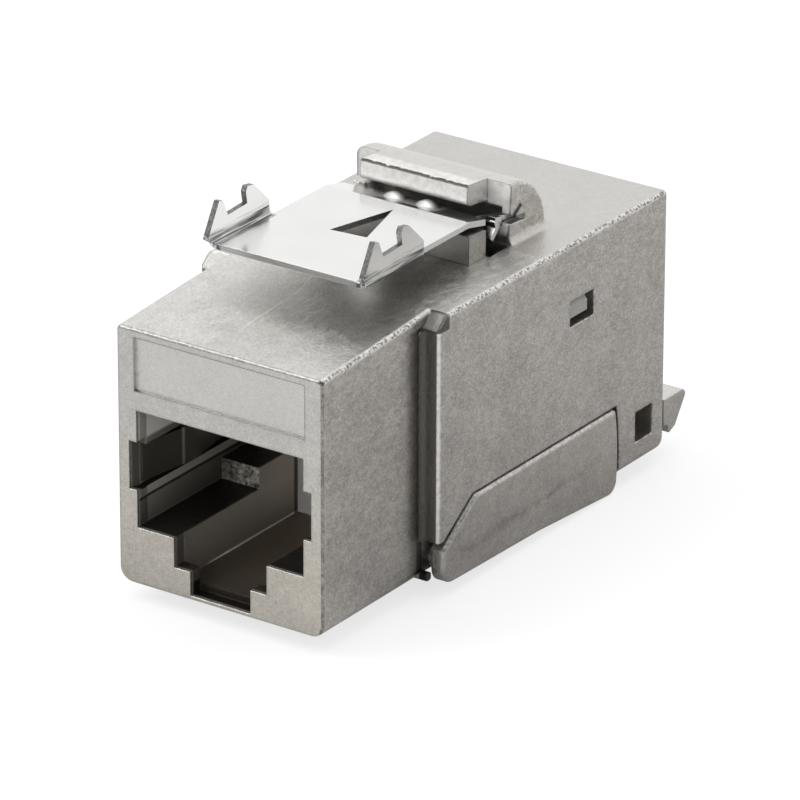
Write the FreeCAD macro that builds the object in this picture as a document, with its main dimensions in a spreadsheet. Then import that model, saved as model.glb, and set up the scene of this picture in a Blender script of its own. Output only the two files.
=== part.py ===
# Shielded keystone jack, tool-less, 8-way modular socket. FreeCAD macro, millimetres.
# Every piece is drawn in the nose's own frame: X to the right seen from the front, Y from the
# nose's front face to the rear, Z up from the nose's underside. Each body's Placement then moves
# it to the part's frame, whose origin is at the centre of the base of the whole jack.
import FreeCAD, Part
import os
import sys
from math import atan2, hypot, sqrt

import Sketcher

doc = FreeCAD.newDocument("keystone_jack")
Vector = FreeCAD.Vector


# ---------------------------------------------------------------- driving dimensions

class Size:
    """A length: its number, and the spreadsheet expression that gives it."""

    def __init__(self, value, text):
        self.value = value
        self.text = text

    def joined(self, sign, other, value):
        return Size(value, "(%s %s %s)" % (self.text, sign, text_of(other)))

    def __add__(self, other):
        return self.joined("+", other, self.value + value_of(other))

    def __sub__(self, other):
        return self.joined("-", other, self.value - value_of(other))

    def __mul__(self, factor):
        return self.joined("*", factor, self.value * factor)

    def __truediv__(self, divisor):
        return self.joined("/", divisor, self.value / divisor)

    def __neg__(self):
        return Size(-self.value, "(0 - %s)" % self.text)

    def __radd__(self, other):
        return self + other

    def __rmul__(self, factor):
        return self * factor

    def __rsub__(self, other):
        return -self + other


def value_of(length):
    return length.value if isinstance(length, Size) else float(length)


def text_of(length):
    return length.text if isinstance(length, Size) else repr(float(length))


DRIVING = {
    # envelope
    "nose_width": 14.5, "nose_height": 16.13, "body_width": 16.94, "body_height": 16.81,
    "step_y": 9.87, "shoulder_y": 10.9, "shoulder_drop": 0.86, "body_rear": 34.15,
    "overall_length": 36.5, "stand_height": 1.073, "core_width": 15.0,
    # socket opening in the nose, and the cavity behind it
    "port_half": 5.9, "port_top": 11.05, "port_floor": 3.65, "ear_half": 6.45, "ear_low": 6.0,
    "ear_high": 9.05, "tab_half": 3.3, "tab_step": 1.8, "slot_half": 2.15, "slot_floor": 0.3,
    "front_wall": 1.0, "channel_half": 3.25, "channel_floor": 0.75, "throat_y": 12.3,
    "stop_y": 8.4, "stop_top": 5.0, "throat_wall": 1.0, "recess_rear": 9.6, "recess_top": 8.55,
    # label recess
    "label_half": 6.0, "label_low": 12.24, "label_high": 15.6, "label_depth": 0.2,
    # inner chamber
    "nose_chamber_half": 6.3, "nose_roof": 15.0, "chamber_half": 6.9, "chamber_roof": 15.6,
    # latch seat on top
    "post_half": 5.35, "post_front": 17.42, "post_rear": 19.22, "post_top": 18.62,
    "bridge_half": 5.5, "bridge_front": 21.6, "bridge_y": 21.8, "bridge_z": 17.1,
    "bridge_top": 20.55, "lip_half": 3.82, "lip_front": 19.4, "lip_low": 19.42,
    "lip_top": 20.75, "skin_inner": 4.87, "mouth_low": 18.02, "mouth_high": 18.72,
    "fan_low": 17.8, "fan_high": 19.1, "seat_hole_half": 5.6,
    # latch sheet
    "sheet": 0.36, "plate_half": 5.07, "plate_front": 6.84, "plate_top": 19.32, "bend_y": 17.85,
    "tab_end_y": 23.1, "tab_end_z": 18.12, "tab_plate_half": 4.82, "claw_inner": 5.29,
    "claw_front": 6.15, "claw_rear": 12.45, "claw_top": 21.72, "dimple_y": 19.2,
    "dimple_z": 18.35, "dimple_radius": 1.0, "dimple_x": 1.15,
    # press door
    "pivot_y": 11.3, "pivot_z": 1.2, "wing_outer": 8.56,
    "wing_thick": 0.9, "wing_front": 10.35, "wing_high": 4.45, "wing_gap": 0.16,
    "door_rear_y": 28.78, "door_drop": 1.13, "wing_knee_y": 13.65, "wing_low": 2.02,
    "recess_rear_y": 29.07, "recess_knee_y": 13.35, "heel_y": 10.4, "heel_z": 2.6,
    "door_floor": 0.9, "door_floor_front": 13.8, "boss_radius": 0.75, "boss_hole": 0.81,
    # side windows
    "snap_front": 23.5, "snap_rear": 26.1, "snap_low": 11.5, "snap_high": 13.15,
    "rear_snap_front": 30.8, "rear_snap_rear": 32.7, "rear_snap_low": 1.4,
    "rear_snap_high": 3.4,
    # inner parts
    "board_low": 12.3, "board_thick": 1.0, "board_half": 6.0, "board_front": 2.6,
    "board_rear": 28.8, "pitch": 1.02, "odd_root_y": 4.2, "even_root_y": 6.2,
    "contact_wide": 0.4, "block_low": 8.6, "block_front": 14.0, "block_rear": 28.7,
    "idc_first_y": 16.2, "idc_pitch": 3.4, "idc_x": 4.75, "manager_low": 1.35,
    "manager_high": 8.4, "cable_radius": 3.6, "cable_z": 7.0, "cap_half": 6.8,
    "cap_high": 15.4, "cap_wall": 1.1, "ledge_half": 8.4, "ledge_top": 3.0,
}

sheet = doc.addObject("Spreadsheet::Sheet", "Sizes")
for row, (alias, length) in enumerate(DRIVING.items(), start=1):
    sheet.set("A%d" % row, alias)
    sheet.set("B%d" % row, str(length))
    sheet.setAlias("B%d" % row, alias)
doc.recompute()


def size(alias):
    return Size(DRIVING[alias], "Sizes." + alias)


nose_half = size("nose_width") / 2
body_half = size("body_width") / 2
core_half = size("core_width") / 2
nose_height = size("nose_height")
body_height = size("body_height")
step_y = size("step_y")
body_rear = size("body_rear")
throat_y = size("throat_y")
chamber_front = throat_y + size("throat_wall")
pivot_y = size("pivot_y")
pivot_z = size("pivot_z")
wing_gap = size("wing_gap")
wing_outer = size("wing_outer")
wing_inner = wing_outer - size("wing_thick")
board_low = size("board_low")
board_high = board_low + size("board_thick")


# ---------------------------------------------------------------- modelling helpers

def bind(item, path, length):
    """Ties a property to the spreadsheet, or sets it where the length is a plain number."""
    if isinstance(length, Size):
        item.setExpression(path, length.text)
    else:
        item.setExpression(path, repr(float(length)))


def new_body(name):
    """A body whose Placement moves the nose's frame to the part's frame."""
    body = doc.addObject("PartDesign::Body", name)
    body.Label = name
    body.setExpression("Placement.Base.y", "0 - Sizes.overall_length / 2")
    body.setExpression("Placement.Base.z", "Sizes.stand_height")
    return body


def origin_plane(body, role):
    return next(item for item in body.Origin.OriginFeatures if item.Role == role)


class Arc:
    """The stretch from the point before to the point after is an arc about this centre."""

    def __init__(self, u, v):
        self.centre = (u, v)


FREE = None     # a coordinate that the arc before it settles, on the arc's far side


def outline(sketch, steps):
    """Adds one closed loop of straight lines and arcs, with every coordinate bound."""
    corners = [step for step in steps if not isinstance(step, Arc)]
    arcs = {}
    for place, step in enumerate(steps):
        if isinstance(step, Arc):
            before = sum(not isinstance(other, Arc) for other in steps[:place])
            arcs[before - 1] = step.centre
    spots = []
    for index, (u, v) in enumerate(corners):
        if u is FREE:
            centre = [value_of(part) for part in arcs[index - 1]]
            radius = hypot(spots[-1].x - centre[0], spots[-1].y - centre[1])
            u = centre[0] + sqrt(radius ** 2 - (value_of(v) - centre[1]) ** 2)
        spots.append(Vector(value_of(u), value_of(v), 0))

    first = sketch.GeometryCount
    ends = []       # for each segment, the sketch's names for its start and its end
    for index, spot in enumerate(spots):
        after = spots[(index + 1) % len(spots)]
        if index not in arcs:
            sketch.addGeometry(Part.LineSegment(spot, after))
            ends.append((1, 2))
            continue
        centre = Vector(value_of(arcs[index][0]), value_of(arcs[index][1]), 0)
        circle = Part.Circle(centre, Vector(0, 0, 1), (spot - centre).Length)
        angles = [atan2(point.y - centre.y, point.x - centre.x) for point in (spot, after)]
        anticlockwise = (spot - centre).cross(after - centre).z > 0
        if not anticlockwise:
            angles.reverse()
        sketch.addGeometry(Part.ArcOfCircle(circle, angles[0], angles[1]))
        ends.append((1, 2) if anticlockwise else (2, 1))

    def place_point(segment, end, u, v):
        for kind, length in (("DistanceX", u), ("DistanceY", v)):
            if length is FREE:
                continue
            rule = Sketcher.Constraint(kind, -1, 1, segment, end, value_of(length))
            number = sketch.addConstraint(rule)
            if isinstance(length, Size):
                sketch.setExpression("Constraints[%d]" % number, length.text)

    for index, (u, v) in enumerate(corners):
        segment = first + index
        after = first + (index + 1) % len(corners)
        sketch.addConstraint(Sketcher.Constraint(
            "Coincident", segment, ends[index][1], after, ends[(index + 1) % len(corners)][0]))
        place_point(segment, ends[index][0], u, v)
        if index in arcs:
            place_point(segment, 3, *arcs[index])


def circle(sketch, u, v, radius):
    """Adds one circle with its centre and radius bound."""
    centre = Vector(value_of(u), value_of(v), 0)
    number = sketch.addGeometry(Part.Circle(centre, Vector(0, 0, 1), value_of(radius)))
    rules = (
        (Sketcher.Constraint("DistanceX", -1, 1, number, 3, centre.x), u),
        (Sketcher.Constraint("DistanceY", -1, 1, number, 3, centre.y), v),
        (Sketcher.Constraint("Radius", number, value_of(radius)), radius),
    )
    for rule, length in rules:
        index = sketch.addConstraint(rule)
        if isinstance(length, Size):
            sketch.setExpression("Constraints[%d]" % index, length.text)


# Sketch axes on the origin planes: XY gives (X, Y), XZ gives (X, Z) and YZ gives (Y, Z).
NORMAL_SIGN = {"XY_Plane": 1, "XZ_Plane": -1, "YZ_Plane": 1}


def new_sketch(body, name, role, offset=0.0, loops=(), circles=()):
    """A sketch on an origin plane, moved along +Z, +Y or +X by the offset."""
    sketch = body.newObject("Sketcher::SketchObject", name)
    sketch.AttachmentSupport = [(origin_plane(body, role), "")]
    sketch.MapMode = "FlatFace"
    along = offset if NORMAL_SIGN[role] > 0 else 0.0 - offset
    bind(sketch, "AttachmentOffset.Base.z", along)
    for loop in loops:
        outline(sketch, loop)
    for u, v, radius in circles:
        circle(sketch, u, v, radius)
    return sketch


def extrude(body, kind, sketch, length, towards, symmetric):
    """Pads or pockets a sketch towards +1 or -1 along its plane's world axis."""
    feature = body.newObject("PartDesign::" + kind, sketch.Name + "_" + kind.lower())
    feature.Profile = sketch
    bind(feature, "Length", length)
    if symmetric:
        feature.SideType = "Symmetric"
        return feature
    role = sketch.AttachmentSupport[0][0].Role
    along_normal = towards * NORMAL_SIGN[role] > 0
    feature.Reversed = along_normal if kind == "Pocket" else not along_normal
    return feature


def pad(body, name, role, loops, length, offset=0.0, towards=1, symmetric=False, circles=()):
    sketch = new_sketch(body, name, role, offset, loops, circles)
    return extrude(body, "Pad", sketch, length, towards, symmetric)


def pocket(body, name, role, loops, length, offset=0.0, towards=1, symmetric=False, circles=()):
    """Cuts, and stops the macro if nothing was cut."""
    doc.recompute()
    before = body.Tip.Shape.Volume
    sketch = new_sketch(body, name, role, offset, loops, circles)
    feature = extrude(body, "Pocket", sketch, length, towards, symmetric)
    doc.recompute()
    if not feature.Shape.Volume < before - 1e-4:
        sys.exit("pocket %s cuts nothing" % name)
    return feature


def cylinder(body, name, kind, radius, height, centre, axis):
    """An additive or subtractive cylinder from the centre along +X, +Y or +Z."""
    feature = body.newObject("PartDesign::%sCylinder" % kind, name)
    bind(feature, "Radius", radius)
    bind(feature, "Height", height)
    direction = {"X": Vector(1, 0, 0), "Y": Vector(0, 1, 0), "Z": Vector(0, 0, 1)}[axis]
    feature.Placement = FreeCAD.Placement(
        Vector(0, 0, 0), FreeCAD.Rotation(Vector(0, 0, 1), direction))
    for path, length in zip(("x", "y", "z"), centre):
        bind(feature, "Placement.Base." + path, length)
    return feature


def edges_near(shape, spots):
    """The names of the edges whose middles lie nearest the given spots."""
    middles = []
    for edge in shape.Edges:
        middle = edge.valueAt((edge.FirstParameter + edge.LastParameter) / 2)
        middles.append(middle)
    names = []
    for spot in spots:
        target = Vector(*[value_of(part) for part in spot])
        nearest = min(range(len(middles)), key=lambda index: (middles[index] - target).Length)
        if (middles[nearest] - target).Length > 0.6:
            sys.exit("no edge near %s, nearest middle is %s" % (target, middles[nearest]))
        names.append("Edge%d" % (nearest + 1))
    return sorted(set(names))


def dress(body, kind, name, amount, spots):
    """A fillet or a chamfer on the edges nearest the spots."""
    doc.recompute()
    base = body.Tip
    feature = body.newObject("PartDesign::" + kind, name)
    feature.Base = (base, edges_near(base.Shape, spots))
    bind(feature, "Radius" if kind == "Fillet" else "Size", amount)
    doc.recompute()
    if "Invalid" in feature.State or feature.Shape.isNull():
        sys.exit("%s %s failed" % (kind, name))
    return feature


def rectangle(u_low, v_low, u_high, v_high):
    return [(u_low, v_low), (u_high, v_low), (u_high, v_high), (u_low, v_high)]


def both_sides(half):
    """A loop symmetric about the first axis's zero, from its right half, top to bottom."""
    return half + [(-u if isinstance(u, Size) else 0.0 - u, v) for u, v in reversed(half)]


# ---------------------------------------------------------------- housing

def make_housing():
    """The one-piece zinc casting: nose with the socket, body, and the latch's seat on top."""
    body = new_body("housing")
    shoulder_y = size("shoulder_y")
    port_half = size("port_half")
    port_top = size("port_top")
    port_floor = size("port_floor")
    tab_half = size("tab_half")
    front_wall = size("front_wall")
    channel_half = size("channel_half")
    channel_floor = size("channel_floor")
    bridge_front = size("bridge_front")

    nose_profile = [(0, 0), (chamber_front, 0), (chamber_front, body_height),
                    (shoulder_y, body_height), (0, nose_height)]
    pad(body, "nose", "YZ_Plane", [nose_profile], size("nose_width"), symmetric=True)
    middle = chamber_front / 2
    dress(body, "Fillet", "underside_edges", 0.9,
          [(nose_half, middle, 0), (-nose_half, middle, 0)])
    dress(body, "Fillet", "nose_top_edges", 0.3,
          [(nose_half, shoulder_y / 2, nose_height + 0.34),
           (-nose_half, shoulder_y / 2, nose_height + 0.34)])
    dress(body, "Fillet", "face_edges", 0.22,
          [(0, 0, nose_height), (nose_half, 0, 8.3), (-nose_half, 0, 8.3), (0, 0, 0)])

    core_profile = rectangle(throat_y + 0.4, 0, body_rear, body_height)
    pad(body, "core", "YZ_Plane", [core_profile], core_half * 2, symmetric=True)

    # The side plates stop round the door's wings, so the wings lie in a recess of the core.
    wing_top = size("wing_high") + wing_gap
    shoulder_z = body_height - size("shoulder_drop")
    heel_z = size("heel_z")
    plate_profile = [
        (step_y, heel_z), (step_y, shoulder_z), (shoulder_y, body_height),
        (body_rear, body_height), (body_rear, 0), (size("recess_rear_y"), 0),
        Arc(pivot_y, pivot_z), (FREE, wing_top), (size("recess_knee_y"), wing_top),
        (size("heel_y"), heel_z)]
    pad(body, "side_plates", "YZ_Plane", [plate_profile], size("body_width"), symmetric=True)

    # A toe in front of each wing carries the line of the nose's underside outwards.
    toe = [(step_y, 0.1), (step_y + 0.1, 0), (step_y + 0.4, 0), (step_y + 0.5, 0.1),
           (step_y + 0.5, 0.4), (step_y + 0.4, 0.5), (step_y, 0.5)]
    pad(body, "toes", "YZ_Plane", [toe], core_half * 2 + 0.24, symmetric=True)

    dress(body, "Fillet", "rear_foot", 0.7, [(0, body_rear, 0)])
    dress(body, "Fillet", "long_edges", 0.3,
          [(body_half, 22.4, body_height), (-body_half, 22.4, body_height)])
    dress(body, "Fillet", "plate_front_edges", 0.24,
          [(side * body_half, step_y, 9.1) for side in (1, -1)])
    dress(body, "Fillet", "plate_rear_edges", 0.42,
          [(side * body_half, body_rear, 9.1) for side in (1, -1)])
    dress(body, "Fillet", "step_roots", 0.45,
          [(nose_half, step_y, 9.1), (-nose_half, step_y, 9.1)])

    # The latch's seat: a post to rest on, and a half-round bridge with a lip over the sheet.
    post_front = size("post_front")
    post_rear = size("post_rear")
    post_top = size("post_top")
    post_profile = [(post_front, 16.5), (post_rear, 16.5), (post_rear, post_top - 0.18),
                    (post_front, post_top)]
    pad(body, "post", "YZ_Plane", [post_profile], size("post_half") * 2, symmetric=True)

    bridge_low = body_height - 0.3
    mouth_low = size("mouth_low")
    mouth_high = size("mouth_high")
    bridge_top = size("bridge_top")
    bridge_half = size("bridge_half")
    bridge_width = bridge_half * 2
    bridge_profile = [
        (bridge_front - 0.3, bridge_low), (bridge_front - 0.05, mouth_low - 0.1),
        (bridge_front, mouth_low), (bridge_front, bridge_top),
        Arc(size("bridge_y"), size("bridge_z")), (FREE, bridge_low)]
    pad(body, "bridge", "YZ_Plane", [bridge_profile], bridge_width, symmetric=True)
    lip_front = size("lip_front")
    lip_low = size("lip_low")
    lip_top = size("lip_top")
    lip_profile = [(lip_front + 0.05, lip_low), (lip_front + 1.0, lip_low - 0.1),
                   (bridge_front + 0.4, lip_low - 0.3), (bridge_front + 1.0, bridge_top - 0.4),
                   (bridge_front + 0.1, bridge_top), (lip_front + 0.15, lip_top)]
    pad(body, "lip", "YZ_Plane", [lip_profile], size("lip_half") * 2, symmetric=True)
    dress(body, "Fillet", "lip_nose", 0.5, [(0, lip_front + 0.05, lip_low)])
    dress(body, "Fillet", "lip_front_edge", 0.2, [(0, lip_front + 0.15, lip_top)])
    dress(body, "Fillet", "bridge_right_end", 0.22, [(bridge_half, 24.4, 19.4)])
    dress(body, "Fillet", "bridge_left_end", 0.6, [(-bridge_half, 24.4, 19.4)])
    dress(body, "Fillet", "bridge_feet", 0.5,
          [(side * bridge_half, 23.3, body_height) for side in (1, -1)])
    seat_hole = rectangle(post_rear, body_height - 1.5, bridge_front - 0.3, body_height + 0.1)
    pocket(body, "seat_hole", "YZ_Plane", [seat_hole], size("seat_hole_half") * 2,
           symmetric=True)

    # Slots for the sheet's rear end: V-shaped through the bridge's ends, a fan between them.
    v_profile = [
        (bridge_front - 0.2, mouth_low), (bridge_front + 0.35, mouth_low),
        (bridge_front + 1.42, mouth_low - 0.1), (bridge_front + 1.5, mouth_low + 0.25),
        (bridge_front + 0.55, mouth_low + 0.4), (bridge_front + 1.2, mouth_high + 0.12),
        (bridge_front + 0.95, mouth_high + 0.36), (bridge_front + 0.12, mouth_high - 0.1),
        (bridge_front - 0.2, mouth_high - 0.1)]
    pocket(body, "end_slots", "YZ_Plane", [v_profile], bridge_width + 1, symmetric=True)
    fan_low = size("fan_low")
    fan_high = size("fan_high")
    fan_profile = [(bridge_front - 0.2, fan_low), (bridge_front + 1.8, fan_low - 0.3),
                   (bridge_front + 1.8, fan_high + 0.15), (bridge_front - 0.2, fan_high - 0.1)]
    pocket(body, "fan_slot", "YZ_Plane", [fan_profile], size("skin_inner") * 2, symmetric=True)

    # The label's place is a shallow recess with nothing in it.
    label = rectangle(-size("label_half"), size("label_low"), size("label_half"),
                      size("label_high"))
    pocket(body, "label_recess", "XZ_Plane", [label], size("label_depth"))

    # The socket: its opening in the front wall, then the cavity behind that wall.
    ear_half = size("ear_half")
    ear_low = size("ear_low")
    opening = both_sides([
        (port_half, port_top), (port_half, size("ear_high")), (ear_half, size("ear_high")),
        (ear_half, ear_low), (port_half, ear_low), (port_half, port_floor),
        (tab_half, port_floor), (tab_half, size("tab_step")),
        (size("slot_half"), size("tab_step")), (size("slot_half"), size("slot_floor"))])
    pocket(body, "socket_opening", "XZ_Plane", [opening], front_wall + 0.01)
    cavity_half = port_half + 0.05
    cavity = both_sides([
        (cavity_half, port_top), (cavity_half, port_floor), (channel_half, port_floor),
        (channel_half, channel_floor)])
    stop_y = size("stop_y")
    pocket(body, "socket_cavity", "XZ_Plane", [cavity], stop_y - front_wall, offset=front_wall)
    stop_top = size("stop_top")
    throat = both_sides([
        (cavity_half, port_top), (cavity_half, stop_top), (channel_half, stop_top),
        (channel_half, channel_floor)])
    pocket(body, "socket_throat", "XZ_Plane", [throat], throat_y - stop_y + 0.01,
           offset=stop_y - 0.01)
    ears = rectangle(-ear_half, ear_low - 0.1, ear_half, size("recess_top"))
    pocket(body, "spring_recesses", "XZ_Plane", [ears], size("recess_rear") - front_wall + 0.5,
           offset=front_wall - 0.5)

    # The chambers for the board above the socket, and for the connection block behind it.
    board_room = rectangle(-size("nose_chamber_half"), port_top - 0.01,
                           size("nose_chamber_half"), size("nose_roof"))
    pocket(body, "board_chamber", "XZ_Plane", [board_room], chamber_front - front_wall,
           offset=front_wall + 0.2)
    wire_room = rectangle(-size("chamber_half"), -1.0, size("chamber_half"),
                          size("chamber_roof"))
    pocket(body, "wire_chamber", "XZ_Plane", [wire_room], 22.0, offset=chamber_front)
    door_room = rectangle(size("door_floor_front") - 0.3, -1.0, size("door_rear_y") + 0.24,
                          size("door_floor") + 0.12)
    pocket(body, "door_room", "YZ_Plane", [door_room], core_half * 2 + 0.1, symmetric=True)

    # Windows for the snap lugs, and blind holes for the door's pivot bosses.
    upper_window = rectangle(size("snap_front"), size("snap_low"), size("snap_rear"),
                             size("snap_high"))
    lower_window = rectangle(size("rear_snap_front"), size("rear_snap_low"),
                             size("rear_snap_rear"), size("rear_snap_high"))
    pocket(body, "snap_windows", "YZ_Plane", [upper_window, lower_window], 20.0,
           symmetric=True)
    for side, name in ((1, "right"), (-1, "left")):
        pocket(body, "pivot_hole_" + name, "YZ_Plane", [], 2.0, offset=side * 6.5,
               towards=side, circles=[(pivot_y, pivot_z, size("boss_hole"))])
    return body


# ---------------------------------------------------------------- latch

def make_latch():
    """The stamped and bent stainless sheet that holds the jack in its panel."""
    body = new_body("latch_spring")
    thick = size("sheet")
    plate_half = size("plate_half")
    plate_front = size("plate_front")
    plate_top = size("plate_top")
    bend_y = size("bend_y")
    tab_end_y = size("tab_end_y")
    tab_end_z = size("tab_end_z")
    sheet_profile = [
        (plate_front, plate_top), (bend_y, plate_top), (tab_end_y, tab_end_z),
        (tab_end_y - 0.08, tab_end_z - thick), (bend_y - 0.04, plate_top - thick),
        (plate_front, plate_top - thick)]
    pad(body, "plate", "YZ_Plane", [sheet_profile], plate_half * 2, symmetric=True)

    # Side claws that grip the panel's edge, bent up from the plate in one long bend.
    claw_inner = size("claw_inner")
    claw_outer = claw_inner + thick
    claw_front = size("claw_front")
    claw_rear = size("claw_rear")
    claw_top = size("claw_top")
    root = plate_half - 0.35
    for side, name in ((1, "right"), (-1, "left")):
        angle_section = [
            (side * root, plate_top - thick), (side * claw_outer, plate_top - thick),
            (side * claw_outer, claw_top), (side * claw_inner, claw_top),
            (side * claw_inner, plate_top), (side * root, plate_top)]
        pad(body, "claw_" + name, "XZ_Plane", [angle_section], claw_rear - claw_front,
            offset=claw_front)
    middle = (claw_front + claw_rear) / 2
    dress(body, "Fillet", "inner_bends", 0.25,
          [(side * claw_inner, middle, plate_top) for side in (1, -1)])
    dress(body, "Fillet", "outer_bends", 0.6,
          [(side * claw_outer, middle, plate_top - thick) for side in (1, -1)])
    notch_floor = claw_top - 1.16
    waste_top = claw_top + 1
    above_claws = [
        (claw_front - 0.4, plate_top + 0.05), (claw_front, plate_top + 0.05),
        (claw_front + 1.3, claw_top), (claw_front + 1.7, claw_top - 0.12),
        (claw_front + 2.15, notch_floor), (claw_front + 4.05, notch_floor + 0.1),
        (claw_front + 3.92, claw_top - 0.3), (claw_front + 4.1, claw_top),
        (claw_front + 4.75, claw_top - 0.12), (claw_rear - 0.1, claw_top - 1.5),
        (claw_rear, plate_top + 0.05), (claw_rear + 0.4, plate_top + 0.05),
        (claw_rear + 0.4, waste_top), (claw_front - 0.4, waste_top)]
    pocket(body, "claw_outline", "YZ_Plane", [above_claws], 13.0, symmetric=True)
    below_tips = [
        (claw_front - 0.4, plate_top - 1), (plate_front, plate_top - 1),
        (plate_front, plate_top - 0.05), (claw_front + 0.12, plate_top + 0.34),
        (claw_front - 0.4, plate_top + 0.34)]
    pocket(body, "below_claw_tips", "YZ_Plane", [below_tips], 13.0, symmetric=True)

    # Outline cuts: side notches where the legs come from, a narrow tab, a triangular hole.
    skin_front = size("bridge_front") - 0.35
    tab_half = size("tab_plate_half")
    leg_inner = plate_half - 0.75
    notch_front = size("post_rear") + 0.35
    notch_rear = size("bridge_front") - 1.0
    cuts = []
    for side in (1, -1):
        cuts.append(rectangle(side * leg_inner, notch_front, side * 6.0, notch_rear))
        cuts.append(rectangle(side * tab_half, skin_front, side * 6.0, tab_end_y + 1))
    pocket(body, "side_cuts", "XY_Plane", cuts, 3.0, offset=17.0)
    arrow = [(-0.95, 12.35), (1.5, 12.6), (0.32, 16.95)]
    pocket(body, "arrow_hole", "XY_Plane", [arrow], 3.0, offset=18.0)

    # Legs bent down and forward out of the notches: they push the plate's front up.
    leg_profile = [
        (notch_rear - 0.1, tab_end_z + 0.3), (notch_rear + 0.6, tab_end_z + 0.16),
        (notch_rear + 0.52, tab_end_z - 0.1), (notch_rear - 0.24, tab_end_z - 0.86),
        (notch_rear - 0.52, tab_end_z - 0.62), (notch_rear + 0.02, tab_end_z - 0.08)]
    for side, name in ((1, "right"), (-1, "left")):
        pad(body, "leg_" + name, "YZ_Plane", [leg_profile], plate_half - leg_inner,
            offset=side * leg_inner, towards=side)

    # Two pressed dimples stand against the lip's rounded front and keep the plate in place.
    dimple_y = size("dimple_y")
    dimple_z = size("dimple_z")
    for side, name in ((1, "right"), (-1, "left")):
        dimple = body.newObject("PartDesign::AdditiveSphere", "dimple_" + name)
        bind(dimple, "Radius", size("dimple_radius"))
        for path, length in zip("xyz", (side * size("dimple_x"), dimple_y, dimple_z)):
            bind(dimple, "Placement.Base." + path, length)
    sheet_fall = value_of(plate_top - tab_end_z) / value_of(tab_end_y - bend_y)
    reach = 1.1
    near_under = plate_top - thick - (dimple_y - reach - bend_y) * sheet_fall
    far_under = plate_top - thick - (dimple_y + reach - bend_y) * sheet_fall
    underside = [
        (dimple_y - reach, dimple_z - reach), (dimple_y + reach, dimple_z - reach),
        (dimple_y + reach, far_under), (dimple_y - reach, near_under)]
    pocket(body, "dimple_undersides", "YZ_Plane", [underside], 4.5, symmetric=True)
    return body


# ---------------------------------------------------------------- press door

def make_press_door():
    """The cast lever under the body: two wings and a floor, turning on two cast bosses."""
    body = new_body("press_door")
    wing_front = size("wing_front")
    wing_high = size("wing_high")
    door_rear = size("door_rear_y")
    door_drop = size("door_drop")
    front_z = -0.3
    wing_knee_y = size("wing_knee_y")
    wing_low = size("wing_low")
    wing_profile = [
        (wing_front, front_z), (20.5, -0.56), (door_rear, -door_drop), Arc(pivot_y, pivot_z),
        (FREE, wing_high), (wing_knee_y, wing_high), (wing_front, wing_low)]
    pad(body, "wings", "YZ_Plane", [wing_profile], wing_outer * 2, symmetric=True)
    floor_front = size("door_floor_front")
    floor_rise = size("door_floor")
    room = [
        (wing_front - 0.5, -2), (floor_front, -2), (floor_front, floor_rise - 0.12),
        (door_rear + 0.5, floor_rise - door_drop - 0.02), (door_rear + 0.5, wing_high + 1),
        (wing_front - 0.5, wing_high + 1)]
    pocket(body, "room_between_wings", "YZ_Plane", [room], wing_inner * 2, symmetric=True)
    for side, name in ((1, "right"), (-1, "left")):
        cylinder(body, "boss_" + name, "Additive", size("boss_radius"), 1.05,
                 ((wing_inner - 1.0) if side > 0 else -(wing_inner + 0.05), pivot_y, pivot_z),
                 "X")

    # Ribs on the floor push the wire manager home.
    rib = [(15.2, 0.3), (27.6, -0.4), (27.6, size("manager_low") - 0.05),
           (15.2, size("manager_low") - 0.05)]
    for side, name in ((1, "right"), (-1, "left")):
        pad(body, "rib_" + name, "YZ_Plane", [rib], 0.9, offset=side * 3.6, towards=side)

    wing_middle = (wing_outer + wing_inner) / 2
    for side in (1, -1):
        x = side * wing_middle
        dress(body, "Fillet", "corners_%s" % ("right" if side > 0 else "left"), 1.1,
              [(x, wing_front, front_z)])
    dress(body, "Fillet", "rear_foot_edge", 0.9, [(0, door_rear, -door_drop)])
    dress(body, "Fillet", "wing_corners", 0.35,
          [(side * wing_middle, y, z) for side in (1, -1)
           for y, z in ((wing_front, wing_low), (28.63, wing_high), (wing_knee_y, wing_high))])
    dress(body, "Fillet", "outer_rims", 0.28,
          [(side * wing_outer, 21.0, wing_high) for side in (1, -1)])
    return body


# ---------------------------------------------------------------- rear cap

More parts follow.
